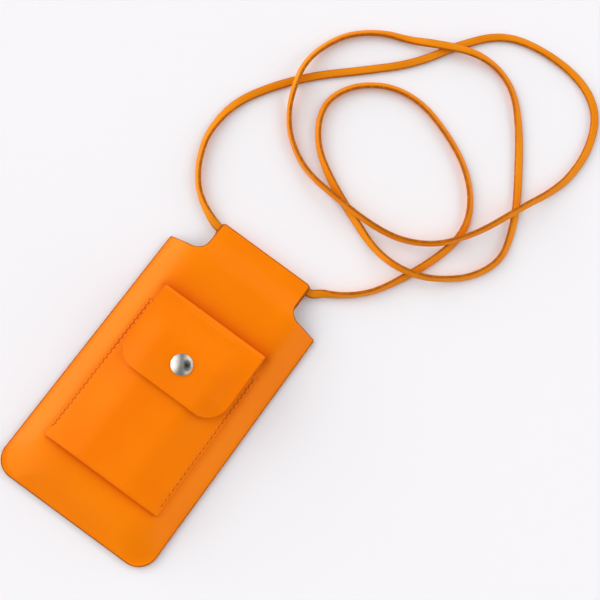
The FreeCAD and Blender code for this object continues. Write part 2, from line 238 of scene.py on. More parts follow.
# Free stretch of the lace: x, y, lift off the floor, and turn about its own line in degrees
lace_route = [
    (-0.0410, 0.0926, 0.0009, 40),
    (-0.0475, 0.0958, 0.0002, 56),
    (-0.0545, 0.1006, 0.0, 70),
    (-0.0608, 0.1072, 0.0, 66),
    (-0.0672, 0.1175, 0.0, 58),
    (-0.0730, 0.1340, 0.0, 46),
    (-0.0718, 0.1580, 0.0, 6),
    (-0.0603, 0.1808, 0.0, -12),
    (-0.0435, 0.2034, 0.0, -10),
    (-0.0222, 0.2246, 0.0, -8),
    (0.0018, 0.2498, 0.0, -14),
    (0.0175, 0.2794, 0.0, -12),
    (0.0357, 0.3022, 0.0, -4),
    (0.0620, 0.3095, 0.0, 14),
    (0.0920, 0.3080, 0.0, -8),
    (0.1120, 0.2960, 0.0, -4),
    (0.1208, 0.2730, 0.0, 8),
    (0.1211, 0.2490, 0.0, 22),
    (0.1157, 0.2312, 0.0002, 46),
    (0.1090, 0.2168, 0.0040, 54),
    (0.1026, 0.2020, 0.0040, 56),
    (0.0972, 0.1897, 0.0030, 62),
    (0.0907, 0.1773, 0.0042, 70),
    (0.0780, 0.1601, 0.0042, 76),
    (0.0595, 0.1500, 0.0010, 76),
    (0.0385, 0.1455, 0.0042, 76),
    (0.0120, 0.1465, 0.0042, 76),
    (-0.0123, 0.1500, 0.0, 80),
    (-0.0314, 0.1610, 0.0, 82),
    (-0.0422, 0.1740, 0.0002, 76),
    (-0.0481, 0.1872, 0.0040, 64),
    (-0.0525, 0.2035, 0.0040, 52),
    (-0.0505, 0.2220, 0.0, 46),
    (-0.0420, 0.2400, 0.0, 42),
    (-0.0260, 0.2538, 0.0, 34),
    (-0.0103, 0.2600, 0.0002, 10),
    (0.0038, 0.2663, 0.0040, -14),
    (0.0250, 0.2775, 0.0040, 2),
    (0.0440, 0.2810, 0.0, 30),
    (0.0620, 0.2735, 0.0, 32),
    (0.0776, 0.2558, 0.0, 12),
    (0.0917, 0.2338, 0.0, -4),
    (0.1035, 0.2135, 0.0, 12),
    (0.1110, 0.1961, 0.0, 26),
    (0.1150, 0.1770, 0.0, 46),
    (0.1066, 0.1586, 0.0, 58),
    (0.0941, 0.1470, 0.0002, 72),
    (0.0820, 0.1382, 0.0042, 68),
    (0.0655, 0.1336, 0.0042, 64),
    (0.0479, 0.1360, 0.0, 62),
    (0.0285, 0.1438, 0.0, 36),
    (0.0058, 0.1535, 0.0, 36),
    (-0.0134, 0.1654, 0.0, 70),
    (-0.0250, 0.1811, 0.0, 64),
    (-0.0279, 0.1969, 0.0, 50),
    (-0.0200, 0.2142, 0.0, 43),
    (-0.0025, 0.2277, 0.0, 39),
    (0.0191, 0.2311, 0.0, 38),
    (0.0421, 0.2245, 0.0, 38),
    (0.0635, 0.2140, 0.0, 40),
    (0.0792, 0.1986, 0.0, 46),
    (0.0870, 0.1800, 0.0, 30),
    (0.0839, 0.1591, 0.0, 30),
    (0.0750, 0.1363, 0.0, 34),
    (0.0655, 0.1175, 0.0, 68),
    (0.0580, 0.1085, 0.0, 74),
    (0.0520, 0.1030, 0.0, 72),
    (0.0455, 0.0983, 0.0002, 62),
    (0.0392, 0.0948, 0.0009, 36),
]

# Snap's cap
cap_roll_share = 0.20
cap_tube_share = 0.3
cap_dome_rings = 20
cap_roll_rings = 10
cap_sides = 96


def smooth(share):
    """Eases from 0 to 1 with its share, level at both ends."""
    share = min(max(share, 0.0), 1.0)
    return share * share * (3 - 2 * share)


def between(start, end, share):
    return start + (end - start) * share


def swelling(share):
    """Height of soft leather over a filled inside: a short foot, a straight slope, a long round to level."""
    rest = 1 - swell_straight_share
    roundness = 1 / (rest**3 + 3 * rest**2 * (swell_straight_share - swell_foot_share / 2))
    steepness = 3 * roundness * rest**2
    if share <= 0:
        return 0.0
    if share < swell_foot_share:
        return steepness * share**2 / (2 * swell_foot_share)
    if share < swell_straight_share:
        return steepness * (share - swell_foot_share / 2)
    return 1 - roundness * max(0.0, 1 - share) ** 3


def colour(red, green, blue):
    """Shader colour from the red, green and blue that a screen shows, 0 to 255."""
    values = []
    for level in (red, green, blue):
        share = level / 255
        values.append(share / 12.92 if share < 0.04045 else ((share + 0.055) / 1.055) ** 2.4)
    return (*values, 1.0)


# Materials

def new_material(name):
    material = bpy.data.materials.new(name)
    material.use_nodes = True
    tree = material.node_tree
    return material, tree, tree.nodes["Principled BSDF"]


def object_place(tree):
    return tree.nodes.new("ShaderNodeTexCoord").outputs["Object"]


def carried(tree, name):
    """Value that a mesh carries at its points."""
    node = tree.nodes.new("ShaderNodeAttribute")
    node.attribute_name = name
    return node.outputs["Fac"]


def noise_of(tree, place, scale, detail):
    node = tree.nodes.new("ShaderNodeTexNoise")
    node.inputs["Scale"].default_value = scale
    node.inputs["Detail"].default_value = detail
    tree.links.new(place, node.inputs["Vector"])
    return node.outputs["Fac"]


def ranged(tree, value, given, wanted, curve="LINEAR"):
    """Maps a value from the range given to the one wanted, and holds it at the ends."""
    node = tree.nodes.new("ShaderNodeMapRange")
    node.interpolation_type = curve
    ends = {"From Min": given[0], "From Max": given[1], "To Min": wanted[0], "To Max": wanted[1]}
    for name, end in ends.items():
        node.inputs[name].default_value = end
    tree.links.new(value, node.inputs["Value"])
    return node.outputs["Result"]


def combined(tree, operation, first, second):
    node = tree.nodes.new("ShaderNodeMath")
    node.operation = operation
    tree.links.new(first, node.inputs[0])
    tree.links.new(second, node.inputs[1])
    return node.outputs["Value"]


def mixed(tree, share, first, second):
    """Mix of two colours, either of them a colour or another node's output."""
    node = tree.nodes.new("ShaderNodeMix")
    node.data_type = "RGBA"
    tree.links.new(share, node.inputs["Factor"])
    sockets = [socket for socket in node.inputs if socket.type == "RGBA"]
    for socket, given in zip(sockets, (first, second)):
        if isinstance(given, tuple):
            socket.default_value = given
        else:
            tree.links.new(given, socket)
    return next(socket for socket in node.outputs if socket.type == "RGBA")


def bumped(tree, height, strength, distance, under=None):
    """Bump of a height, on top of another bump where one is given."""
    node = tree.nodes.new("ShaderNodeBump")
    node.inputs["Strength"].default_value = strength
    node.inputs["Distance"].default_value = distance
    tree.links.new(height, node.inputs["Height"])
    if under is not None:
        tree.links.new(under, node.inputs["Normal"])
    return node.outputs["Normal"]


def cells_of(tree, place, scale):
    """Distance to the walls of small irregular cells, as in leather grain."""
    node = tree.nodes.new("ShaderNodeTexVoronoi")
    node.feature = "DISTANCE_TO_EDGE"
    node.inputs["Scale"].default_value = scale
    tree.links.new(place, node.inputs["Vector"])
    return node.outputs["Distance"]


def border_share(tree, full, reach):
    """1 within a distance of a sheet's border, falling to 0 at a further one."""
    return ranged(tree, carried(tree, "border_distance"), (full, reach), (1.0, 0.0))


def leather_material(name, dark, plain, border, border_full, border_reach, grain_scale, roughness):
    """Smooth dyed leather: faint patches of colour, painted shade by folds, painted borders, fine grain and
    uneven gloss.
    """
    material, tree, shader = new_material(name)
    place = object_place(tree)
    patches = ranged(tree, noise_of(tree, place, scale=30.0, detail=2.0), (0.35, 0.65), (0.0, 1.0))
    # Painted shade: the dye is mixed towards a darker colour by each point's share of painted shade beside
    # the folds
    dye_and_shade = mixed(tree, carried(tree, "painted_shade_share"), mixed(tree, patches, dark, plain), painted_shade_colour)
    breaks = ranged(tree, noise_of(tree, place, scale=500.0, detail=3.0), (0.30, 0.55), (0.55, 1.0))
    painted = combined(tree, "MULTIPLY", border_share(tree, border_full, border_reach), breaks)
    tree.links.new(mixed(tree, painted, dye_and_shade, border), shader.inputs["Base Color"])
    scuffs = noise_of(tree, place, scale=160.0, detail=5.0)
    uneven = (roughness - roughness_spread, roughness + roughness_spread)
    tree.links.new(ranged(tree, scuffs, (0.3, 0.7), uneven), shader.inputs["Roughness"])
    slow = noise_of(tree, place, scale=60.0, detail=1.0)
    waves = bumped(tree, slow, strength=0.03, distance=0.0010)
    walls = ranged(tree, cells_of(tree, place, grain_scale), (0.0, 0.12), (0.0, 1.0))
    grain = bumped(tree, walls, strength=0.10, distance=0.00005, under=waves)
    fine = noise_of(tree, place, scale=2600.0, detail=2.0)
    pores = bumped(tree, fine, strength=0.08, distance=0.00003, under=grain)
    tree.links.new(pores, shader.inputs["Normal"])
    shader.inputs["Specular IOR Level"].default_value = 0.08
    return material


def cut_edge_material(name, dark, pale):
    """Dyed cut edge, with the fibres between the two faces showing."""
    material, tree, shader = new_material(name)
    fibres = noise_of(tree, object_place(tree), scale=1900.0, detail=5.0)
    share = ranged(tree, fibres, (0.38, 0.68), (0.0, 1.0))
    tree.links.new(mixed(tree, share, dark, pale), shader.inputs["Base Color"])
    tree.links.new(ranged(tree, fibres, (0.3, 0.7), (0.60, 0.80)), shader.inputs["Roughness"])
    tree.links.new(bumped(tree, fibres, strength=0.35, distance=0.00010), shader.inputs["Normal"])
    shader.inputs["Specular IOR Level"].default_value = 0.01
    return material


def suede_material():
    """Napped inner face of the leather."""
    material, tree, shader = new_material("suede")
    place = object_place(tree)
    nap = noise_of(tree, place, scale=1400.0, detail=6.0)
    clouds = noise_of(tree, place, scale=90.0, detail=3.0)
    nap_colour = mixed(tree, nap, colour(190, 100, 36), colour(216, 126, 54))
    share = ranged(tree, clouds, (0.3, 0.7), (0.0, 0.5))
    tree.links.new(mixed(tree, share, nap_colour, colour(200, 110, 44)), shader.inputs["Base Color"])
    tree.links.new(bumped(tree, nap, strength=0.45, distance=0.00012), shader.inputs["Normal"])
    tree.links.new(ranged(tree, clouds, (0.3, 0.7), (0.82, 0.94)), shader.inputs["Roughness"])
    shader.inputs["Sheen Weight"].default_value = 0.25
    shader.inputs["Sheen Roughness"].default_value = 0.5
    return material


def wave_of(tree, place, direction, scale):
    node = tree.nodes.new("ShaderNodeTexWave")
    node.wave_type = "BANDS"
    node.bands_direction = direction
    node.inputs["Scale"].default_value = scale
    node.inputs["Distortion"].default_value = 0.6
    tree.links.new(place, node.inputs["Vector"])
    return node.outputs["Fac"]


def lining_material():
    """Fine plain weave: warp and weft ridges over slow unevenness."""
    material, tree, shader = new_material("lining_weave")
    place = object_place(tree)
    warp = wave_of(tree, place, "X", scale=420.0)
    weft = wave_of(tree, place, "Y", scale=420.0)
    weave = combined(tree, "MAXIMUM", warp, weft)
    yarn = mixed(tree, weave, colour(168, 98, 44), colour(214, 146, 86))
    fade = ranged(tree, noise_of(tree, place, scale=60.0, detail=3.0), (0.35, 0.7), (0.0, 0.45))
    tree.links.new(mixed(tree, fade, yarn, colour(190, 122, 66)), shader.inputs["Base Color"])
    tree.links.new(bumped(tree, weave, strength=0.5, distance=0.00010), shader.inputs["Normal"])
    tree.links.new(ranged(tree, weave, (0.0, 1.0), (0.90, 0.74)), shader.inputs["Roughness"])
    shader.inputs["Sheen Weight"].default_value = 0.2
    return material


def thread_material():
    """Twisted sewing thread, with painted shade darkening it in its hollows."""
    material, tree, shader = new_material("sewing_thread")
    fibres = noise_of(tree, object_place(tree), scale=2600.0, detail=4.0)
    share = ranged(tree, fibres, (0.35, 0.65), (0.0, 1.0))
    # Painted shade: the darker yarn colour falls where the fibres' bump is low, in the thread's hollows
    yarn = mixed(tree, share, colour(212, 112, 8), colour(236, 136, 20))
    tree.links.new(yarn, shader.inputs["Base Color"])
    tree.links.new(bumped(tree, fibres, strength=0.4, distance=0.00006), shader.inputs["Normal"])
    tree.links.new(ranged(tree, fibres, (0.3, 0.7), (0.55, 0.75)), shader.inputs["Roughness"])
    shader.inputs["Sheen Weight"].default_value = 0.03
    shader.inputs["Specular IOR Level"].default_value = 0.12
    return material


def metal_material():
    """Polished nickel with fine scratches and a little dulling."""
    material, tree, shader = new_material("polished_nickel")
    place = object_place(tree)
    dull = noise_of(tree, place, scale=260.0, detail=4.0)
    share = ranged(tree, dull, (0.35, 0.7), (0.0, 1.0))
    tint = mixed(tree, share, colour(226, 222, 214), colour(206, 202, 194))
    tree.links.new(tint, shader.inputs["Base Color"])
    tree.links.new(ranged(tree, dull, (0.3, 0.7), (0.13, 0.22)), shader.inputs["Roughness"])
    scratches = noise_of(tree, place, scale=3200.0, detail=3.0)
    tree.links.new(bumped(tree, scratches, strength=0.04, distance=0.00003), shader.inputs["Normal"])
    shader.inputs["Metallic"].default_value = 1.0
    return material


def hole_shade_material():
    """Painted shade of a needle hole's inside, on a disc lying on the leather, with the fibres round it."""
    material, tree, shader = new_material("hole_shade")
    fibres = noise_of(tree, object_place(tree), scale=3400.0, detail=3.0)
    dark = mixed(tree, fibres, colour(176, 70, 0), colour(206, 92, 4))
    tree.links.new(dark, shader.inputs["Base Color"])
    tree.links.new(ranged(tree, fibres, (0.3, 0.7), (0.80, 0.95)), shader.inputs["Roughness"])
    tree.links.new(bumped(tree, fibres, strength=0.3, distance=0.00005), shader.inputs["Normal"])
    shader.inputs["Specular IOR Level"].default_value = 0.1
    return material


roughness_spread = 0.05
# Painted shade: the darker colour that stands in for the shade beside the folds
painted_shade_colour = colour(206, 84, 0)
leather = leather_material(
    "smooth_leather",
    dark=colour(247, 126, 0),
    plain=colour(250, 131, 1),
    border=colour(160, 76, 8),
    border_full=0.0003,
    border_reach=0.0009,
    grain_scale=1500.0,
    roughness=0.33,
)
pocket_dyed = leather_material(
    "pocket_leather",
    dark=colour(248, 122, 0),
    plain=colour(250, 127, 1),
    border=colour(232, 104, 4),
    border_full=0.0002,
    border_reach=0.0008,
    grain_scale=1500.0,
    roughness=0.33,
)
lace_leather = leather_material(
    "lace_leather",
    dark=colour(230, 130, 9),
    plain=colour(240, 142, 16),
    border=colour(170, 90, 10),
    border_full=0.0003,
    border_reach=0.0010,
    grain_scale=2200.0,
    roughness=0.36,
)
cut_edge = cut_edge_material("cut_edge", dark=colour(146, 66, 8), pale=colour(184, 90, 16))
pocket_edge = cut_edge_material("pocket_edge", dark=colour(206, 92, 4), pale=colour(232, 114, 12))
suede = suede_material()
lining = lining_material()
thread = thread_material()
# Painted shade standing in for the dark inside of each needle hole
hole_shade = hole_shade_material()
nickel = metal_material()
leather_faces = (leather, suede, cut_edge)
pocket_faces = (pocket_dyed, suede, pocket_edge)
lining_faces = (lining, lining, lining)


# Meshes

def mesh_of(name, points, faces, materials):
    mesh = bpy.data.meshes.new(name)
    mesh.from_pydata(points, [], faces)
    for material in materials:
        mesh.materials.append(material)
    return mesh


def carry(mesh, name, values):
    """Lets a mesh carry a value at each of its points."""
    attribute = mesh.attributes.new(name, "FLOAT", "POINT")
    attribute.data.foreach_set("value", values)


def band_faces(first, second, sides):
    """Faces between two rings, each given by its first point. Rings that change places turn them round."""
    faces = []
    for side in range(sides):
        beside = (side + 1) % sides
        faces.append((first + side, second + side, second + beside, first + beside))
    return faces


def shade(mesh):
    """Shades a mesh smooth, apart from its sharp edges."""
    mesh.shade_smooth()
    mesh.set_sharp_from_angle(angle=sharp_angle)


def show(name, mesh):
    """Links a piece to the scene."""
    piece = bpy.data.objects.new(name, mesh)
    bpy.context.scene.collection.objects.link(piece)
    shade(mesh)
    return piece


def bake(piece):
    """Applies a piece's modifiers to its mesh."""
    graph = bpy.context.evaluated_depsgraph_get()
    mesh = bpy.data.meshes.new_from_object(piece.evaluated_get(graph))
    piece.modifiers.clear()
    piece.data = mesh
    shade(mesh)


# Sheets

def arc_points(start, end, middle):
    """Points of the shorter arc about middle."""
    first = start - middle
    last = end - middle
    turn = first.angle(last)
    count = max(least_arc_steps, math.ceil(turn * first.length / cell))
    points = []
    for index in range(count + 1):
        share = index / count
        along = first * math.sin((1 - share) * turn) + last * math.sin(share * turn)
        points.append(middle + along / math.sin(turn))
    return points


def rounded_line(corners):
    """Points from the first rounding to the last, of an open line given as (x, y, corner radius)."""
    places = [Vector((x, y)) for x, y, radius in corners]
    line = []
    for index in range(1, len(corners) - 1):
        corner = places[index]
        radius = corners[index][2]
        back = (places[index - 1] - corner).normalized()
        ahead = (places[index + 1] - corner).normalized()
        half_angle = back.angle(ahead) / 2
        reach = radius / math.tan(half_angle)
        middle = corner + (back + ahead).normalized() * (radius / math.sin(half_angle))
        bend = arc_points(corner + back * reach, corner + ahead * reach, middle)
        if line:
            run = bend[0] - line[-1]
            count = math.ceil(run.length / cell)
            start = line[-1]
            line += [start + run * (step / count) for step in range(1, count)]
        line += bend
    return line


def outline(inset, neck_inset):
    """Right-hand edge of the pouch from bottom to top, drawn in by inset, and by neck_inset at the neck."""
    side = half_width - inset
    neck = neck_half - neck_inset
    return rounded_line([
        (0.0, bottom_y + inset, 0.0),
        (side, bottom_y + inset, bottom_corner - inset),
        (side, notch_y - shoulder_fall - inset, shoulder_tip),
        (neck, notch_y - inset, notch_corner),
        (neck, top_y - neck_inset, neck_corner),
        (0.0, top_y - neck_inset, 0.0),
    ])


def shares_across(width):
    """Even shares from -1 to 1 for the columns of a sheet."""
    count = math.ceil(width / cell)
    return [2 * index / count - 1 for index in range(count + 1)]


def border_distances(rows):
    """How far each point of a sheet lies from the nearest of its borders."""
    right = [row[-1] for row in rows[1:]]
    left = [row[0] for row in rows[1:-1]]
    loop = rows[0] + right + rows[-1][-2::-1] + left[::-1]
    tree = kdtree.KDTree(len(loop))
    for index, point in enumerate(loop):
        tree.insert(point, index)
    tree.balance()
    distances = []
    for point in (point for row in rows for point in row):
        place, index, distance = tree.find(point)
        for beside in (loop[index - 1], loop[(index + 1) % len(loop)]):
            foot, share = geometry.intersect_point_line(point, place, beside)
            if 0 < share < 1:
                distance = min(distance, (point - foot).length)
        distances.append(distance)
    return distances


def rows_mesh(name, rows, materials, painted_shade_at):
    """Mesh of a sheet given as rows of points, all of one count, seen from its outer face."""
    width = len(rows[0])
    points = [point for row in rows for point in row]
    faces = []
    for row in range(len(rows) - 1):
        for column in range(width - 1):
            first = row * width + column
            faces.append((first, first + 1, first + width + 1, first + width))
    mesh = mesh_of(name, points, faces, materials)
    carry(mesh, "border_distance", border_distances(rows))
    # Each point carries its share of painted shade beside the folds
    carry(mesh, "painted_shade_share", [painted_shade_at(point.x, point.y) for point in points])
    return mesh


def no_painted_shade(x, y):
    return 0.0


def sheet(name, rows, thickness, materials, painted_shade_at=no_painted_shade, round_share=edge_round_share):
    """Piece of sheet: its outer face from rows, its inner face and its rounded cut edge."""
    piece = show(name, rows_mesh(name, rows, materials, painted_shade_at))
    solid = piece.modifiers.new("thickness", "SOLIDIFY")
    solid.thickness = thickness
    solid.offset = -1
    solid.material_offset = 1
    solid.material_offset_rim = 2
    rounding = piece.modifiers.new("rounding", "BEVEL")
    rounding.width = thickness * round_share
    rounding.segments = edge_round_segments
    rounding.limit_method = "ANGLE"
    rounding.angle_limit = edge_round_angle
    rounding.use_clamp_overlap = False
    bake(piece)
    return piece


# Front and its lip

def edge_inset(x, y):
    """How far a place lies in from the pouch's sides and bottom, rounded where the two meet."""
    across = half_width - abs(x)
    up = y - bottom_y
    if abs(across - up) >= slope_corner:
        return min(across, up)
    return (across + up + math.sqrt(2 * slope_corner**2 - (across - up) ** 2)) / 2 - slope_corner


def border_drop(x, y):
    """How far the front lies below its level middle, as it swells up from its seam."""
    return (front_high.z - rim_high) * (1 - swelling((edge_inset(x, y) - rim_width) / swell_width))


def front_height(x, y):
    """Height of the front's outer face, raised over the space inside and falling towards the neck."""
    height = front_high.z - border_drop(x, y)
    fall = smooth((y - lip_fall_start) / (tunnel_foot_y - lip_fall_start))
    ripple = noise.noise(Vector((x, y, 0.0)) / ripple_length)
    raised = (height - rim_high) / (front_high.z - rim_high)
    return height - (front_high.z - lip_over_tunnel) * fall + ripple_depth * ripple * raised


def front_point(x, y, depth):
    """Point of the front, depth inside its outer face."""
    step = cell / 2
    slope_x = (front_height(x + step, y) - front_height(x - step, y)) / (2 * step)
    slope_y = (front_height(x, y + step) - front_height(x, y - step)) / (2 * step)
    outward = Vector((-slope_x, -slope_y, 1.0)).normalized()
    return Vector((x, y, front_height(x, y))) - outward * depth


def front_rows(line, depth):
    columns = shares_across(2 * half_width)
    return [[front_point(edge.x * share, edge.y, depth) for share in columns] for edge in line]


def bend_at_lip(piece):
    """Bakes a piece's placement into its mesh."""
    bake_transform(piece)


def front_painted_shade(x, y):
    """How much painted shade darkens the dye beside the pocket's fold and the flap's fold, where those folds
    cast their shade.
    """
    share = 0.0
    pocket_fold_shade = (pocket_low.y, seam_half, pocket_fold_shade_reach)
    flap_fold_shade = (flap_high.y, flap_high.x, flap_fold_shade_reach)
    for line_y, half, reach in (pocket_fold_shade, flap_fold_shade):
        beside = math.exp(-abs(y - line_y) / reach)
        share = max(share, beside * smooth((half + reach - abs(x)) / reach))
    return painted_shade_share * share


def make_front():
    rows = front_rows(outline(0.0, lip_inset), 0.0)
    piece = sheet("front_skin", rows, panel_leather, leather_faces, front_painted_shade)
    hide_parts("front_panel", "front_lip_leather")
    bend_at_lip(piece)


def make_front_lining():
    line = outline(lining_inset, lining_neck_inset)
    rows = front_rows(line, panel_leather + bond_gap)
    piece = sheet("front_lining_cloth", rows, lining_sheet, lining_faces)
    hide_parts("front_lining", "front_lip_facing")
    bend_at_lip(piece)


# Back, its lining and the lace's tunnel

def tunnel_path():
    """Path (y, z) of the outer face of the neck's top: round the lace and down to its tail."""
    radius = tunnel_high / 2
    round_y = top_y - radius
    foot_high = panel_leather + tunnel_tail_sheet
    path = []
    turns = math.ceil(math.pi * radius / cell) * 2
    for index in range(turns + 1):
        angle = math.pi * index / turns - math.pi / 2
        path.append((round_y + radius * math.cos(angle), radius + radius * math.sin(angle)))
    run = math.ceil((round_y - tunnel_foot_y) / cell)
    for index in range(1, run):
        path.append((between(round_y, tunnel_foot_y, index / run), tunnel_high))
    tail_start = tunnel_foot_y - tunnel_step
    for index in range(tunnel_step_rows + 1):
        share = index / tunnel_step_rows
        z = between(tunnel_high, foot_high, smooth(share))
        path.append((between(tunnel_foot_y, tail_start, share), z))
    tail = math.ceil((tail_start - tunnel_tail_y) / cell)
    for index in range(1, tail + 1):
        path.append((between(tail_start, tunnel_tail_y, index / tail), foot_high))
    return path


def width_at(line, y):
    """Half width of an outline at a place along it."""
    for before, after in zip(line, line[1:]):
        if before.y <= y <= after.y and after.y > before.y:
            return between(before.x, after.x, (y - before.y) / (after.y - before.y))
    return line[-1].x


def make_back():
    line = outline(0.0, 0.0)
    round_y = top_y - tunnel_high / 2
    columns = [-share for share in shares_across(2 * half_width)]
    rows = []
    for edge in line:
        if edge.y < round_y - cell / 2:
            rows.append([Vector((edge.x * share, edge.y, 0.0)) for share in columns])
    for y, z in tunnel_path():
        half = width_at(line, y)
        rows.append([Vector((half * share, y, z)) for share in columns])
    piece = sheet("back_skin", rows, panel_leather, leather_faces)
    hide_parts("back_panel")
    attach(piece, "pouch")


def make_back_lining():
    columns = shares_across(2 * half_width)
    line = [edge for edge in outline(lining_inset, lining_neck_inset) if edge.y <= lining_high.y]
    rows = [[Vector((edge.x * share, edge.y, lining_high.z)) for share in columns] for edge in line]
    piece = sheet("back_lining_cloth", rows, lining_sheet, lining_faces)
    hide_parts("back_lining")
    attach(piece, "pouch")


# Pocket

def pocket_height(x, y):
    """Height of the pocket front's outer face: grooved at its seams, fuller between and above its fold."""
    seam_high = pocket_low.z + pocket_leather - border_drop(x, y)
    across = smooth((seam_half - abs(x)) / seam_slope)
    along = between(fold_fullness_share, 1, smooth((y - pocket_low.y) / fullness_run))
    groove = math.exp(-(((abs(x) - stitch_x) / groove_width) ** 2))
    fullness = pocket_high.z - pocket_low.z - pocket_leather
    return seam_high + fullness * across * along - groove_depth * groove


def pocket_columns():
    """Places across the pocket, closer together at its seams."""
    count = math.ceil((pocket_high.x - seam_half) / seam_cell)
    outer = [between(seam_half, pocket_high.x, index / count) for index in range(1, count + 1)]
    inner = [share * seam_half for share in shares_across(2 * seam_half)]
    return [-place for place in reversed(outer)] + inner + outer


def make_pocket():
    columns = pocket_columns()
    rows = []
    for index in range(pocket_fold_rows + 1):
        angle = math.pi * index / pocket_fold_rows - math.pi / 2
        row = []
        for x in columns:
            floor_z = leaf_low.z - border_drop(x, pocket_low.y)
            half = (pocket_height(x, pocket_low.y) - floor_z) / 2
            depth = half * (1 - math.cos(angle))
            row.append(Vector((x, pocket_low.y + depth, floor_z + half + half * math.sin(angle))))
        rows.append(row)
    count = math.ceil((pocket_high.y - pocket_low.y) / cell)
    for index in range(1, count + 1):
        row = []
        for start in rows[pocket_fold_rows]:
            y = between(start.y, pocket_high.y, index / count)
            row.append(Vector((start.x, y, pocket_height(start.x, y))))
        rows.append(row)
    thickness = pocket_leather * fold_sheet_share
    piece = sheet("pocket_skin", rows, thickness, pocket_faces, round_share=fold_round_share)
    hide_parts("pocket_front")
    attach(piece, "pouch")


def make_leaf():
    columns = [-share * leaf_half for share in shares_across(2 * leaf_half)]
    start_y = pocket_low.y + pocket_leather
    count = math.ceil((leaf_end_y - start_y) / cell)
    rows = []
    for index in range(count + 1):
        y = between(start_y, leaf_end_y, index / count)
        rows.append([Vector((x, y, leaf_low.z - border_drop(x, y))) for x in columns])
    piece = sheet("pocket_leaf_skin", rows, pocket_leather, pocket_faces)
    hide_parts("pocket_back_leaf")
    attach(piece, "pouch")


# Flap

def flap_height(x, y):
    """Height of the flap's outer face: low at its fold, level at the snap, drooping at its free edges."""
    fold_high = flap_hinge.z + fold_radius
    rise = smooth((flap_hinge.y - y) / (flap_hinge.y - level_y))
    along = smooth((droop_start_y - y) / (droop_start_y - flap_low.y))
    sides = smooth((abs(x) / flap_high.x - side_droop_start_share) / (1 - side_droop_start_share))
    sides *= smooth((flap_hinge.y - y) / side_droop_run)
    press = smooth((cap_press_reach - math.hypot(x, y - snap_y)) / (cap_press_reach - cap_high.x))
    free = between(fold_high, flap_high.z, rise) - flap_droop * along
    free -= flap_side_droop * sides + cap_sink * press
    rest = pocket_height(x, y) + flap_over_pocket + lining_sheet + pocket_leather
    return (free + rest + math.hypot(free - rest, flap_rest_softness)) / 2


def fold_path():
    """Path (y, z) of the strip's outer face: from under the pocket's mouth, round the fold, to the flap."""
    path = []
    run = math.ceil((flap_hinge.y - leaf_end_y) / cell)
    for index in range(run):
        path.append((between(leaf_end_y, flap_hinge.y, index / run), leaf_low.z))
    for index in range(fold_rows + 1):
        share = index / fold_rows
        angle = math.pi * share - math.pi / 2
        radius = between(flap_hinge.z - leaf_low.z, fold_radius, smooth(share / fold_spread_share))
        path.append((flap_hinge.y + radius * math.cos(angle), flap_hinge.z + radius * math.sin(angle)))
    return path


def flap_line(inset):
    """Right-hand edge of the flap from its fold down to its rounded bottom."""
    line = rounded_line([
        (0.0, flap_low.y + inset, 0.0),
        (flap_high.x - inset, flap_low.y + inset, flap_corner),
        (flap_high.x - inset, flap_hinge.y, cell),
        (0.0, flap_hinge.y, 0.0),
    ])
    return [point for point in reversed(line) if point.y < flap_hinge.y - cell]


def flap_point(x, y):
    return Vector((x, y, flap_height(x, y)))


def make_flap():
    columns = [-share for share in shares_across(2 * flap_high.x)]
    rows = []
    for y, z in fold_path():
        narrow = smooth((y - leaf_end_y) / strip_narrow_run) if z < flap_hinge.z else 1.0
        half = between(leaf_half, flap_high.x, narrow)
        lying = 1 - smooth((z - leaf_low.z) / (flap_hinge.z - leaf_low.z))
        places = [half * share for share in columns]
        rows.append([Vector((x, y, z - lying * border_drop(x, y))) for x in places])
    for edge in flap_line(0.0):
        rows.append([flap_point(edge.x * share, edge.y) for share in columns])
    piece = sheet("flap_skin", rows, pocket_leather, pocket_faces)
    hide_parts("flap_leather")
    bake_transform(piece)


def make_flap_lining():
    columns = [-share for share in shares_across(2 * flap_high.x)]
    drop = Vector((0.0, 0.0, pocket_leather + bond_gap))
    line = flap_line(lining_from_flap_edge)
    rows = [[flap_point(edge.x * share, edge.y) - drop for share in columns] for edge in line]
    piece = sheet("flap_lining_cloth", rows, lining_sheet, lining_faces)
    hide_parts("flap_lining")
    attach(piece, "pocket_flap")


# Stitches

def stitch_points(middle, along, across):
    """Rings of one stitch: a twisted thread that rises from its hole and dives into the next."""
    rings = []
    for index in range(thread_rings):
        share = 2 * index / (thread_rings - 1) - 1
        radius = thread_radius * math.sqrt(1 + thread_end_share - share**4)
        height = thread_radius * (thread_rise_share - thread_dive_share * share**4)
        centre = middle + along * (stitch_half * share) + upward * height
        ring = []
        for side in range(thread_sides):
            angle = 2 * math.pi * side / thread_sides
            lobe = 1 + thread_lobe_share * math.cos(thread_lobes * angle + thread_twist * share)
            ring.append(centre + (across * math.cos(angle) + upward * math.sin(angle)) * radius * lobe)
        rings.append(ring)
    return rings


def hole_points(middle, along, across):
    """Ring round a needle hole, lying on the leather and carrying the hole's painted shade."""
    lifted = middle + upward * hole_lift
    ring = []
    for side in range(thread_sides):
        angle = 2 * math.pi * side / thread_sides
        ring.append(lifted + (along * math.cos(angle) + across * math.sin(angle)) * hole_radius)
    return ring


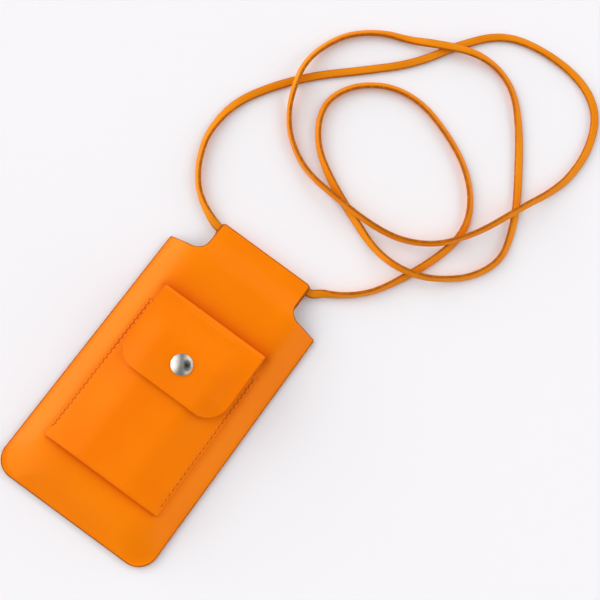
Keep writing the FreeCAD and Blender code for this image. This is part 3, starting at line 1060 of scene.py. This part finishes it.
def stitch_row(name, middles, along, node):
    """Piece made of one stitch at each middle, all running one way, with a disc of painted shade for a
    needle hole beyond each.
    """
    across = along.cross(upward)
    points = []
    faces = []
    for middle in middles:
        for index, ring in enumerate(stitch_points(middle, along, across)):
            start = len(points)
            points += ring
            if index:
                faces += band_faces(start, start - thread_sides, thread_sides)
            if index in (0, thread_rings - 1):
                cap = tuple(range(start, start + thread_sides))
                faces.append(cap if index else cap[::-1])
    thread_faces = len(faces)
    for middle in middles:
        start = len(points)
        points += hole_points(middle - along * (stitch_pitch / 2), across, along)
        faces.append(tuple(range(start, start + thread_sides)))
    mesh = mesh_of(name, points, faces, [thread, hole_shade])
    for polygon in mesh.polygons[thread_faces:]:
        polygon.material_index = 1
    piece = show(name, mesh)
    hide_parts(node)
    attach(piece, "pouch")


def make_stitches():
    for side, name in ((-1, "left"), (1, "right")):
        x = side * stitch_x
        middles = []
        y = side_thread_high.y - stitch_half
        while y > side_thread_low.y:
            middles.append(Vector((x, y, pocket_height(x, y))))
            y -= stitch_pitch
        stitch_row("pocket_thread_" + name, middles, Vector((0.0, 1.0, 0.0)), "pocket_stitches_" + name)
    middles = []
    x = tunnel_thread_low.x + stitch_half
    row_y = (tunnel_thread_low.y + tunnel_thread_high.y) / 2
    while x < tunnel_thread_high.x:
        middles.append(Vector((x, row_y, tunnel_thread_low.z)))
        x += stitch_pitch
    stitch_row("tunnel_thread", middles, Vector((1.0, 0.0, 0.0)), "tunnel_stitches")


# Lace

def lace_section():
    """Closed section of the lace as (across, up): a thick strip with rounded edges."""
    upper_right = [(x * lace_width / 2, z * lace_half_thick) for x, z in lace_section_shares]
    lower_right = [(x, -z) for x, z in reversed(upper_right[:-1])]
    lower_left = [(-x, -z) for x, z in upper_right[1:]]
    upper_left = [(-x, z) for x, z in reversed(upper_right[1:-1])]
    return upper_right + lower_right + lower_left + upper_left


def spline_points(controls):
    """Points along a smooth spline through the pull of its controls."""
    data = bpy.data.curves.new("lace_line", "CURVE")
    data.dimensions = "3D"
    data.resolution_u = lace_spline_steps
    spline = data.splines.new("NURBS")
    spline.points.add(len(controls) - 1)
    for point, place in zip(spline.points, controls):
        point.co = (*place, 1.0)
    spline.order_u = lace_spline_order
    spline.use_endpoint_u = True
    line = bpy.data.objects.new("lace_line", data)
    bpy.context.scene.collection.objects.link(line)
    bpy.context.view_layer.update()
    graph = bpy.context.evaluated_depsgraph_get()
    mesh = bpy.data.meshes.new_from_object(line.evaluated_get(graph))
    points = [vertex.co.copy() for vertex in mesh.vertices]
    bpy.data.objects.remove(line)
    bpy.data.meshes.remove(mesh)
    return points


def lace_ring(section, here, ahead, turn):
    """The lace's section at a place on its line, turned about that line."""
    side = ahead.cross(upward).normalized()
    rise = side.cross(ahead)
    across = side * math.cos(turn) + rise * math.sin(turn)
    up = rise * math.cos(turn) - side * math.sin(turn)
    return [here + across * x + up * z for x, z in section]


def lace_mesh(name, route):
    """Mesh of the lace swept along a smooth spline, and the points of that spline."""
    path = spline_points([(x, y, z) for x, y, z, turn in route])
    turns = spline_points([(math.radians(turn), 0.0, 0.0) for x, y, z, turn in route])
    section = lace_section()
    sides = len(section)
    points = []
    faces = []
    for index, here in enumerate(path):
        ahead = (path[min(index + 1, len(path) - 1)] - path[max(index - 1, 0)]).normalized()
        start = len(points)
        points += lace_ring(section, here, ahead, turns[index].x)
        if index:
            faces += band_faces(start - sides, start, sides)
    faces.append(tuple(range(sides)))
    faces.append(tuple(range(len(points) - 1, len(points) - 1 - sides, -1)))
    mesh = mesh_of(name, points, faces, [lace_leather])
    carry(mesh, "border_distance", [lace_width / 2 - abs(x) for x, z in section] * len(path))
    return mesh, path


def lying_height(turn):
    """Height of the lace's middle where it lies on the floor, turned about its own line."""
    return lace_half_thick + lace_core_half * abs(math.sin(math.radians(turn)))


def make_lace():
    route = [(-neck_half, lace_y, lace_z, 0), (-neck_half - exit_run, lace_y, lace_z, left_exit_turn)]
    for x, y, lift, turn in lace_route:
        route.append((x, y, lying_height(turn) + lift, turn))
    route += [(neck_half + exit_run, lace_y, lace_z, right_exit_turn), (neck_half, lace_y, lace_z, 0)]
    mesh, path = lace_mesh("neck_lace", route)
    piece = show("neck_lace", mesh)
    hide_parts("neck_cord")
    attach(piece, "pouch")


def make_tunnel_lace():
    route = []
    for index in range(tunnel_lace_steps + 1):
        route.append((neck_half * (2 * index / tunnel_lace_steps - 1), lace_y, lace_z, 0))
    mesh = lace_mesh("tunnel_lace", route)[0]
    piece = show("tunnel_lace", mesh)
    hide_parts("cord_in_tunnel")
    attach(piece, "pouch")


# Snap

def turned(name, profile):
    """Mesh turned about the snap's axis from (radius, z), from its middle outwards."""
    points = []
    for radius, z in profile:
        for side in range(cap_sides):
            angle = 2 * math.pi * side / cap_sides
            points.append((radius * math.cos(angle), snap_y + radius * math.sin(angle), z))
    faces = []
    for ring in range(len(profile) - 1):
        faces += band_faces(ring * cap_sides, (ring + 1) * cap_sides, cap_sides)
    faces.append(tuple(range(cap_sides)))
    return mesh_of(name, points, faces, [nickel])


def make_cap():
    """Domed cap with a rolled rim, and the rivet tube under it."""
    radius = cap_high.x
    rim_low = flap_high.z - cap_sink
    rise = cap_high.z - rim_low
    roll = rise * cap_roll_share
    dome = rise - 2 * roll
    profile = []
    for index in range(1, cap_dome_rings + 1):
        share = index / cap_dome_rings
        profile.append((share * (radius - roll), cap_high.z - dome * share**2))
    for index in range(1, cap_roll_rings + 1):
        angle = math.pi / 2 - math.pi * index / cap_roll_rings
        profile.append((radius - roll + roll * math.cos(angle), rim_low + roll + roll * math.sin(angle)))
    tube = socket_high.x * cap_tube_share
    profile.append((tube, rim_low))
    profile.append((tube, cap_low.z))
    piece = show("cap_dome", turned("cap_dome", profile))
    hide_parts("snap_cap")
    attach(piece, "pocket_flap")


def finish_metal():
    """Gives the snap's inner parts the cap's metal."""
    for name in ("snap_socket", "snap_spring", "snap_stud", "snap_stud_post"):
        materials = frame["nodes"][name].data.materials
        materials.clear()
        materials.append(nickel)


# Floor, light and camera

def make_floor():
    material, tree, shader = new_material("pale_floor")
    shader.inputs["Base Color"].default_value = colour(247, 245, 248)
    shader.inputs["Roughness"].default_value = 0.9
    shader.inputs["Specular IOR Level"].default_value = 0.1
    corners = [(-1, -1), (1, -1), (1, 1), (-1, 1)]
    points = [(x * floor_half, y * floor_half, -floor_drop) for x, y in corners]
    floor = bpy.data.objects.new("floor", mesh_of("floor", points, [(0, 1, 2, 3)], [material]))
    bpy.context.scene.collection.objects.link(floor)


def light_from(tree, way, spread, levels):
    """Light that goes from one level to another as its direction nears a given way."""
    node = tree.nodes.new("ShaderNodeVectorMath")
    node.operation = "DOT_PRODUCT"
    tree.links.new(tree.nodes.new("ShaderNodeTexCoord").outputs["Generated"], node.inputs[0])
    node.inputs[1].default_value = way.normalized()
    return ranged(tree, node.outputs["Value"], spread, levels, "SMOOTHSTEP")


def make_light():
    """Soft room by direction: a pale horizon, lamps on the left and right, and two dim patches overhead."""
    world = bpy.data.worlds.new("studio")
    bpy.context.scene.world = world
    world.use_nodes = True
    tree = world.node_tree
    light = light_from(tree, upward, horizon_spread, (room_light, horizon_light))
    for way, spread, strength in (key_lamp, fill_lamp, low_lamp):
        light = combined(tree, "ADD", light, light_from(tree, way, spread, (0.0, strength)))
    for way in dim_ways:
        dimming = light_from(tree, way, dim_spread, (1.0, 1.0 - dim_share))
        light = combined(tree, "MULTIPLY", light, dimming)
    tree.links.new(light, tree.nodes["Background"].inputs["Strength"])
    tree.nodes["Background"].inputs["Color"].default_value = (1.0, 1.0, 1.0, 1.0)


def make_camera():
    data = bpy.data.cameras.new("camera")
    data.sensor_width = camera_sensor
    data.lens = camera_lens
    camera = bpy.data.objects.new("camera", data)
    back = -camera_ahead.normalized()
    right = camera_up.cross(back).normalized()
    up = back.cross(right)
    turn = Matrix((right, up, back)).transposed().to_4x4()
    camera.matrix_world = Matrix.Translation(camera_place) @ turn
    bpy.context.scene.collection.objects.link(camera)
    bpy.context.scene.camera = camera


make_camera()
make_floor()
make_light()
make_lace()
make_tunnel_lace()
make_back()
make_back_lining()
make_front()
make_front_lining()
make_leaf()
make_pocket()
make_stitches()
make_flap()
make_flap_lining()
make_cap()
finish_metal()

bpy.context.scene.view_settings.view_transform = "Standard"
